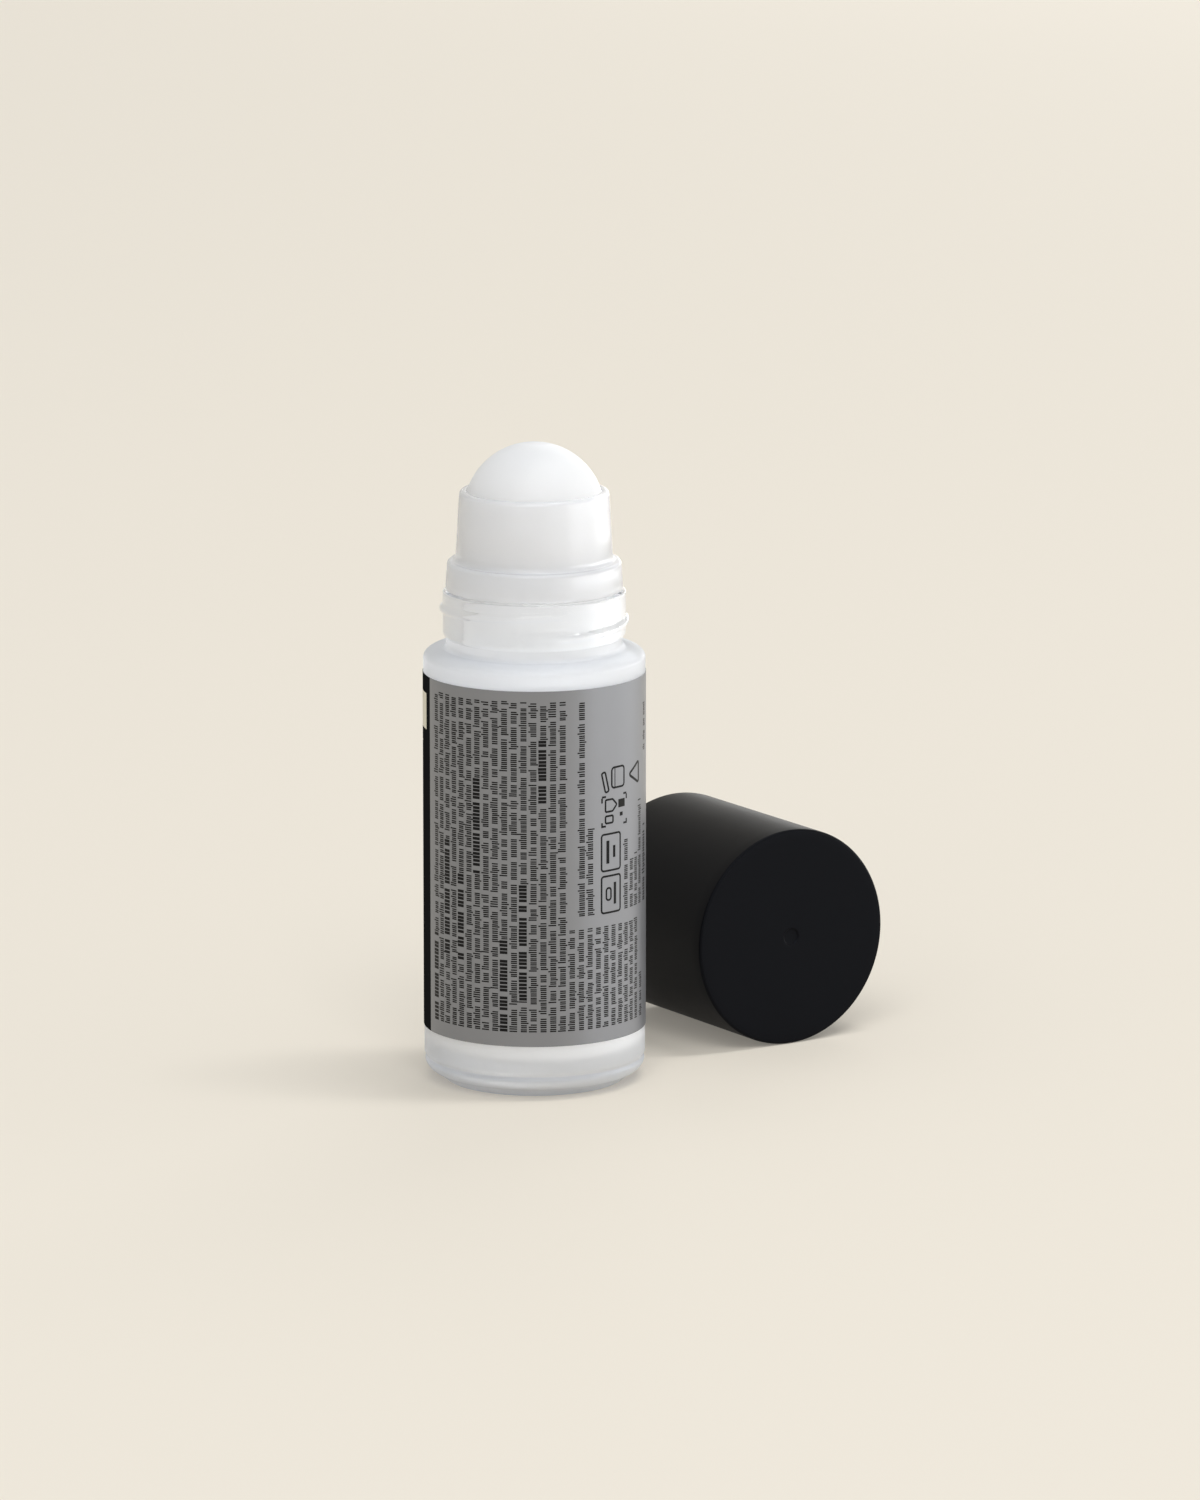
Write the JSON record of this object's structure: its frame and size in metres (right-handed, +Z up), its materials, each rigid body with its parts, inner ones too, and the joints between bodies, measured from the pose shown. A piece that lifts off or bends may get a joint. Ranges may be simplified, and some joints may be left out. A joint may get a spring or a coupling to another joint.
{
  "type": "roll-on deodorant",
  "caption": "Frosted glass roll-on bottle with a white applicator ball in a translucent housing, wrapped in a grey and black film, its matte black screw cap lying beside it.",
  "frame": {"origin": "on the surface that the bottle stands on and the cap lies on, at the centre of the rectangle that the two cover together; the bottle's axis is at x -0.02188, y -0.02386", "axes": "+Z up along the bottle's axis; -Y towards the viewer of the picture; +X to the viewer's right"},
  "size_m": [0.0838, 0.0878, 0.1165],
  "materials": {
    "glass": "frosted body, clear neck",
    "lotion": null,
    "label_film": "printed film, grey and black, satin",
    "natural_plastic": "uncoloured translucent polypropylene",
    "white_plastic": "smooth white polypropylene, ground and polished",
    "black_plastic": "matte black polypropylene",
    "liner_plastic": "black polypropylene, as moulded"
  },
  "bodies": {
    "bottle": {"glass_bottle": "glass", "deodorant_fill": "lotion", "wrap_label": "label_film", "ball_housing": "natural_plastic"},
    "ball": {"ball_upper_half": "white_plastic", "ball_lower_half": "white_plastic"},
    "cap": {"cap_shell": "black_plastic", "cap_liner": "liner_plastic"}
  },
  "joints": [
    {"name": "ball_roll", "type": "hinge", "parent": "bottle", "child": "ball", "pos_m": [-0.02188, -0.02386, 0.10384], "axis": [1, 0, 0], "continuous": true},
    {"name": "cap_lift", "type": "slide", "parent": "bottle", "child": "cap", "axis": [0, 0, 1], "range_m": [0, 0.12]}
  ]
}
